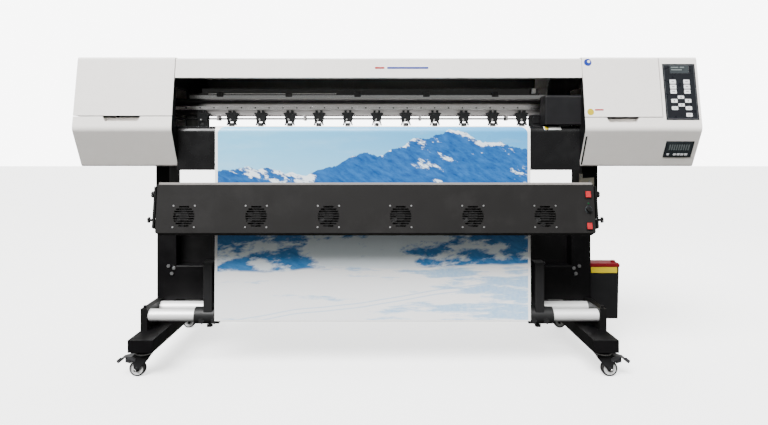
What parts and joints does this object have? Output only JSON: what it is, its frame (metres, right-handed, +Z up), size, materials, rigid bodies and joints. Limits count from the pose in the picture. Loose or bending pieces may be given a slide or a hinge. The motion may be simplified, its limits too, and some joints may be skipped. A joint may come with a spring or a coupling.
{
  "type": "wide-format roll printer",
  "caption": "Wide-format roll printer on a wheeled stand, with end covers with lids, moving print carriage, fan dryer bar, take-up rollers, media guides and waste box.",
  "frame": {"origin": "middle of the machine's footprint, on the floor", "axes": "+X to the operator's right along the print beam, -Y towards the operator, +Z up"},
  "size_m": [2.54, 0.7852, 1.288],
  "materials": {
    "cover_cream": "satin",
    "fascia_cream": "satin",
    "stand_black": "satin",
    "panel_black": "satin",
    "dryer_black": "satin",
    "apron_black": "satin",
    "platen_grey": "satin",
    "beam_silver": "satin",
    "rail_steel": "polished",
    "strip_silver": "satin",
    "belt_black": "matte",
    "tray_black": "gloss",
    "carriage_black": "satin",
    "arm_black": "satin",
    "pinch_rubber": "matte",
    "feed_steel": "satin",
    "pulley_steel": "satin",
    "roller_white": "satin",
    "side_plate_black": "satin",
    "frame_black": "satin",
    "guide_black": "satin",
    "box_black": "satin",
    "keypad_film": "satin",
    "knob_black": "satin",
    "rocker_red": "gloss",
    "fan_black": "satin",
    "bolt_steel": "satin",
    "fork_dark": "satin",
    "tyre_dark": "matte",
    "pedal_grey": "satin",
    "media_print": "satin",
    "cap_station": "satin"
  },
  "bodies": {
    "machine_frame": {"foot_beams": "stand_black", "stand_legs": "stand_black", "crossbeam": "stand_black", "rear_stand_panel": "panel_black", "roller_side_plates": "side_plate_black", "stand_bolts": "bolt_steel", "base_frame": "frame_black", "platen": "platen_grey", "front_apron": "apron_black", "carriage_beam": "beam_silver", "linear_rail": "rail_steel", "encoder_strip": "strip_silver", "drive_belt": "belt_black", "ink_tube_tray": "tray_black", "top_cover": "fascia_cream", "rear_cover": "fascia_cream", "left_end_cover": "cover_cream", "right_end_cover": "cover_cream", "control_panel": "keypad_film", "dryer_brackets": "dryer_black", "capping_station": "cap_station", "printed_sheet": "media_print"},
    "dryer": {"dryer_case": "dryer_black", "fan_frames": "fan_black"},
    "left_lid": {"left_lid": "cover_cream"},
    "right_lid": {"right_lid": "cover_cream"},
    "print_carriage": {"print_carriage": "carriage_black"},
    "drive_pulley": {"drive_pulley": "pulley_steel"},
    "idler_pulley": {"idler_pulley": "pulley_steel"},
    "feed_roller": {"feed_roller": "feed_steel"},
    "pinch_arms": {"pinch_arms": "arm_black"},
    "pinch_wheels": {"pinch_wheels": "pinch_rubber"},
    "dryer_knob_upper_left": {"dryer_knob_upper_left": "knob_black"},
    "dryer_knob_lower_left": {"dryer_knob_lower_left": "knob_black"},
    "dryer_knob_upper_right": {"dryer_knob_upper_right": "knob_black"},
    "dryer_knob_lower_right": {"dryer_knob_lower_right": "knob_black"},
    "upper_rocker_switch": {"upper_rocker_switch": "rocker_red"},
    "lower_rocker_switch": {"lower_rocker_switch": "rocker_red"},
    "fan_speed_knob": {"fan_speed_knob": "knob_black"},
    "fan_rotor_1": {"fan_rotor_1": "fan_black"},
    "fan_rotor_2": {"fan_rotor_2": "fan_black"},
    "fan_rotor_3": {"fan_rotor_3": "fan_black"},
    "fan_rotor_4": {"fan_rotor_4": "fan_black"},
    "fan_rotor_5": {"fan_rotor_5": "fan_black"},
    "fan_rotor_6": {"fan_rotor_6": "fan_black"},
    "front_takeup_roller": {"front_takeup_roller": "roller_white"},
    "rear_takeup_roller": {"rear_takeup_roller": "roller_white"},
    "left_media_guide": {"left_media_guide": "guide_black"},
    "right_media_guide": {"right_media_guide": "guide_black"},
    "waste_ink_box": {"waste_ink_box": "box_black"},
    "caster_fork_front_left": {"caster_fork_front_left": "fork_dark"},
    "caster_wheel_front_left": {"caster_wheel_front_left": "tyre_dark"},
    "caster_fork_front_right": {"caster_fork_front_right": "fork_dark"},
    "caster_wheel_front_right": {"caster_wheel_front_right": "tyre_dark"},
    "caster_fork_rear_left": {"caster_fork_rear_left": "fork_dark"},
    "caster_wheel_rear_left": {"caster_wheel_rear_left": "tyre_dark"},
    "caster_fork_rear_right": {"caster_fork_rear_right": "fork_dark"},
    "caster_wheel_rear_right": {"caster_wheel_rear_right": "tyre_dark"},
    "brake_pedal_left": {"brake_pedal_left": "pedal_grey"},
    "brake_pedal_right": {"brake_pedal_right": "pedal_grey"}
  },
  "joints": [
    {"name": "left_lid_hinge", "type": "hinge", "parent": "machine_frame", "child": "left_lid", "pos_m": [-1.07, 0.12, 1.2895], "axis": [-1, 0, 0], "range_deg": [0, 85]},
    {"name": "right_lid_hinge", "type": "hinge", "parent": "machine_frame", "child": "right_lid", "pos_m": [0.95, 0.12, 1.2895], "axis": [-1, 0, 0], "range_deg": [0, 85]},
    {"name": "carriage_travel", "type": "slide", "parent": "machine_frame", "child": "print_carriage", "axis": [1, 0, 0], "range_m": [-1.8, 0]},
    {"name": "drive_pulley_spin", "type": "hinge", "parent": "machine_frame", "child": "drive_pulley", "pos_m": [1.04, -0.0945, 1.1165], "axis": [0, 0, 1], "range_deg": [-9400, 0]},
    {"name": "idler_pulley_spin", "type": "hinge", "parent": "machine_frame", "child": "idler_pulley", "pos_m": [-1.14, -0.0945, 1.1165], "axis": [0, 0, 1], "range_deg": [-9400, 0]},
    {"name": "feed_roller_spin", "type": "hinge", "parent": "machine_frame", "child": "feed_roller", "pos_m": [-0.04, -0.123, 0.9929], "axis": [1, 0, 0], "continuous": true},
    {"name": "pinch_lift", "type": "hinge", "parent": "machine_frame", "child": "pinch_arms", "pos_m": [-0.1, -0.11, 1.041], "axis": [-1, 0, 0], "range_deg": [0, 10]},
    {"name": "pinch_wheel_spin", "type": "hinge", "parent": "pinch_arms", "child": "pinch_wheels", "pos_m": [-0.1015, -0.123, 1.0148], "axis": [1, 0, 0], "continuous": true},
    {"name": "dryer_tilt", "type": "hinge", "parent": "machine_frame", "child": "dryer", "pos_m": [-0.047, -0.34, 0.731], "axis": [1, 0, 0], "range_deg": [-3.5, 15.5]},
    {"name": "dryer_knob_upper_left_turn", "type": "hinge", "parent": "dryer", "child": "dryer_knob_upper_left", "pos_m": [-0.915, -0.34, 0.731], "axis": [1, 0, 0], "range_deg": [0, 360]},
    {"name": "dryer_knob_lower_left_turn", "type": "hinge", "parent": "dryer", "child": "dryer_knob_lower_left", "pos_m": [-0.915, -0.35429, 0.63203], "axis": [1, 0, 0], "range_deg": [0, 360]},
    {"name": "dryer_knob_upper_right_turn", "type": "hinge", "parent": "dryer", "child": "dryer_knob_upper_right", "pos_m": [0.82, -0.34, 0.731], "axis": [1, 0, 0], "range_deg": [0, 360]},
    {"name": "dryer_knob_lower_right_turn", "type": "hinge", "parent": "dryer", "child": "dryer_knob_lower_right", "pos_m": [0.82, -0.35429, 0.63203], "axis": [1, 0, 0], "range_deg": [0, 360]},
    {"name": "upper_rocker_press", "type": "hinge", "parent": "dryer", "child": "upper_rocker_switch", "pos_m": [0.78, -0.36749, 0.733], "axis": [1, 0, 0], "range_deg": [0, 16]},
    {"name": "lower_rocker_press", "type": "hinge", "parent": "dryer", "child": "lower_rocker_switch", "pos_m": [0.78, -0.38495, 0.612], "axis": [1, 0, 0], "range_deg": [0, 16]},
    {"name": "fan_speed_turn", "type": "hinge", "parent": "dryer", "child": "fan_speed_knob", "pos_m": [0.78, -0.37586, 0.675], "axis": [0, -0.9897, 0.1429], "range_deg": [-270, 0]},
    {"name": "fan_1_spin", "type": "hinge", "parent": "dryer", "child": "fan_rotor_1", "pos_m": [-0.789, -0.37961, 0.64895], "axis": [0, -0.9897, 0.1429], "continuous": true},
    {"name": "fan_2_spin", "type": "hinge", "parent": "dryer", "child": "fan_rotor_2", "pos_m": [-0.509, -0.37961, 0.64895], "axis": [0, -0.9897, 0.1429], "continuous": true},
    {"name": "fan_3_spin", "type": "hinge", "parent": "dryer", "child": "fan_rotor_3", "pos_m": [-0.229, -0.37961, 0.64895], "axis": [0, -0.9897, 0.1429], "continuous": true},
    {"name": "fan_4_spin", "type": "hinge", "parent": "dryer", "child": "fan_rotor_4", "pos_m": [0.051, -0.37961, 0.64895], "axis": [0, -0.9897, 0.1429], "continuous": true},
    {"name": "fan_5_spin", "type": "hinge", "parent": "dryer", "child": "fan_rotor_5", "pos_m": [0.331, -0.37961, 0.64895], "axis": [0, -0.9897, 0.1429], "continuous": true},
    {"name": "fan_6_spin", "type": "hinge", "parent": "dryer", "child": "fan_rotor_6", "pos_m": [0.611, -0.37961, 0.64895], "axis": [0, -0.9897, 0.1429], "continuous": true},
    {"name": "front_takeup_spin", "type": "hinge", "parent": "machine_frame", "child": "front_takeup_roller", "pos_m": [-0.0555, -0.19, 0.214], "axis": [1, 0, 0], "continuous": true},
    {"name": "rear_takeup_spin", "type": "hinge", "parent": "machine_frame", "child": "rear_takeup_roller", "pos_m": [-0.0555, -0.064, 0.214], "axis": [1, 0, 0], "continuous": true},
    {"name": "left_guide_slide", "type": "slide", "parent": "machine_frame", "child": "left_media_guide", "axis": [1, 0, 0], "range_m": [-0.16, 0.6]},
    {"name": "right_guide_slide", "type": "slide", "parent": "machine_frame", "child": "right_media_guide", "axis": [1, 0, 0], "range_m": [-0.6, 0.16]},
    {"name": "waste_box_lift", "type": "slide", "parent": "machine_frame", "child": "waste_ink_box", "axis": [0, 0, 1], "range_m": [0, 0.08]},
    {"name": "caster_swivel_front_left", "type": "hinge", "parent": "machine_frame", "child": "caster_fork_front_left", "pos_m": [-0.976, -0.294, 0.1], "axis": [0, 0, 1], "continuous": true},
    {"name": "caster_roll_front_left", "type": "hinge", "parent": "caster_fork_front_left", "child": "caster_wheel_front_left", "pos_m": [-1.001, -0.294, 0.032], "axis": [0, 1, 0], "continuous": true},
    {"name": "caster_swivel_front_right", "type": "hinge", "parent": "machine_frame", "child": "caster_fork_front_right", "pos_m": [0.865, -0.294, 0.1], "axis": [0, 0, 1], "continuous": true},
    {"name": "caster_roll_front_right", "type": "hinge", "parent": "caster_fork_front_right", "child": "caster_wheel_front_right", "pos_m": [0.89, -0.294, 0.032], "axis": [0, 1, 0], "continuous": true},
    {"name": "caster_swivel_rear_left", "type": "hinge", "parent": "machine_frame", "child": "caster_fork_rear_left", "pos_m": [-0.976, 0.345, 0.1], "axis": [0, 0, 1], "continuous": true},
    {"name": "caster_roll_rear_left", "type": "hinge", "parent": "caster_fork_rear_left", "child": "caster_wheel_rear_left", "pos_m": [-1.001, 0.345, 0.032], "axis": [0, 1, 0], "continuous": true},
    {"name": "caster_swivel_rear_right", "type": "hinge", "parent": "machine_frame", "child": "caster_fork_rear_right", "pos_m": [0.865, 0.345, 0.1], "axis": [0, 0, 1], "continuous": true},
    {"name": "caster_roll_rear_right", "type": "hinge", "parent": "caster_fork_rear_right", "child": "caster_wheel_rear_right", "pos_m": [0.89, 0.345, 0.032], "axis": [0, 1, 0], "continuous": true},
    {"name": "brake_pedal_left_press", "type": "hinge", "parent": "caster_fork_front_left", "child": "brake_pedal_left", "pos_m": [-1.009, -0.294, 0.068], "axis": [0, 1, 0], "range_deg": [0, 14]},
    {"name": "brake_pedal_right_press", "type": "hinge", "parent": "caster_fork_front_right", "child": "brake_pedal_right", "pos_m": [0.898, -0.294, 0.068], "axis": [0, -1, 0], "range_deg": [0, 14]}
  ],
  "couplings": [
    {"joint": "drive_pulley_spin", "follows": "carriage_travel", "rad_per_m": 90.498},
    {"joint": "idler_pulley_spin", "follows": "carriage_travel", "rad_per_m": 90.498},
    {"joint": "pinch_wheel_spin", "follows": "feed_roller_spin", "ratio": -1.4118},
    {"joint": "rear_takeup_spin", "follows": "front_takeup_spin", "ratio": 1}
  ]
}
